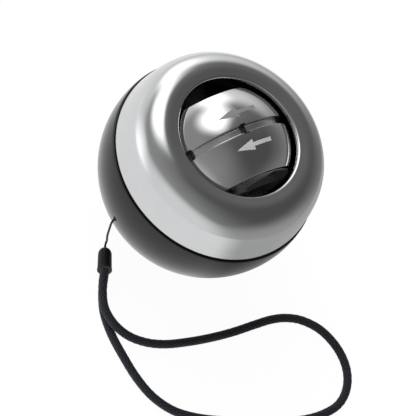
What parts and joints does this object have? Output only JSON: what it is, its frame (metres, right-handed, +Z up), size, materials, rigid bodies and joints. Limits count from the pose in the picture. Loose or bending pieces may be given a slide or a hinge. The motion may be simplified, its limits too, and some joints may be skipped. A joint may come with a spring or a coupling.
{
  "type": "gyroscopic wrist ball",
  "caption": "Spring-start gyroscopic wrist exerciser: metal ball with a round window over a chromed rotor that spins in a turning ring, and a wrist lanyard.",
  "frame": {"origin": "centre of the flat base, on the surface that the ball stands on", "axes": "+Z up through the window, the ball's polar axis; +X along the rotor's axle at rest, towards the end without the spring barrel"},
  "size_m": [0.1107, 0.0732, 0.0593],
  "materials": {
    "satin_shell": "satin gunmetal chrome",
    "dark_shell": "satin dark grey metallic",
    "band": "matte",
    "race_plastic": "moulded black",
    "ring_plastic": "moulded black",
    "rotor_chrome": "polished",
    "rotor_core_steel": "turned",
    "steel": "plain",
    "spring_steel": "blued strip",
    "brass": "turned",
    "cap_plastic": "moulded black",
    "cord_fabric": "woven charcoal",
    "thread_fabric": "waxed black"
  },
  "bodies": {
    "housing": {"upper_shell": "satin_shell", "lower_shell": "dark_shell", "seam_band": "band", "upper_race": "race_plastic", "lower_race": "race_plastic", "lanyard_pin": "steel", "lanyard_thread": "thread_fabric", "lanyard_cap": "cap_plastic", "lanyard_cord": "cord_fabric"},
    "ring": {"ring_upper": "ring_plastic", "ring_lower": "ring_plastic", "ring_screw_1": "steel", "ring_screw_2": "steel", "ring_screw_3": "steel", "ring_screw_4": "steel", "bush_left": "brass", "bush_right": "brass", "spring_barrel": "ring_plastic", "spring_cover": "steel", "mainspring": "spring_steel"},
    "starter": {"spring_arbor": "ring_plastic"},
    "pawl_a": {"pawl_a": "steel"},
    "pawl_b": {"pawl_b": "steel"},
    "rotor": {"rotor_half_left": "rotor_chrome", "rotor_half_right": "rotor_chrome", "rotor_core": "rotor_core_steel", "rotor_cap_left": "race_plastic", "rotor_cap_right": "race_plastic", "cap_screw_right_1": "steel", "cap_screw_right_2": "steel", "cap_screw_right_3": "steel", "cap_screw_left_1": "steel", "cap_screw_left_2": "steel", "cap_screw_left_3": "steel", "axle": "steel"}
  },
  "joints": [
    {"name": "ring_turn", "type": "hinge", "parent": "housing", "child": "ring", "pos_m": [0, 0, 0.03589], "axis": [0, 0, 1], "continuous": true},
    {"name": "rotor_spin", "type": "hinge", "parent": "ring", "child": "rotor", "pos_m": [0, 0, 0.03589], "axis": [1, 0, 0], "continuous": true},
    {"name": "spring_wind", "type": "hinge", "parent": "ring", "child": "starter", "pos_m": [-0.015, 0, 0.03589], "axis": [1, 0, 0], "range_deg": [0, 720], "stiffness_Nm_per_rad": 0.0015},
    {"name": "pawl_a_lift", "type": "hinge", "parent": "starter", "child": "pawl_a", "pos_m": [-0.01065, 0, 0.04189], "axis": [-1, 0, 0], "range_deg": [0, 18], "stiffness_Nm_per_rad": 0.0002},
    {"name": "pawl_b_lift", "type": "hinge", "parent": "starter", "child": "pawl_b", "pos_m": [-0.01065, 0, 0.02989], "axis": [-1, 0, 0], "range_deg": [0, 18], "stiffness_Nm_per_rad": 0.0002}
  ]
}
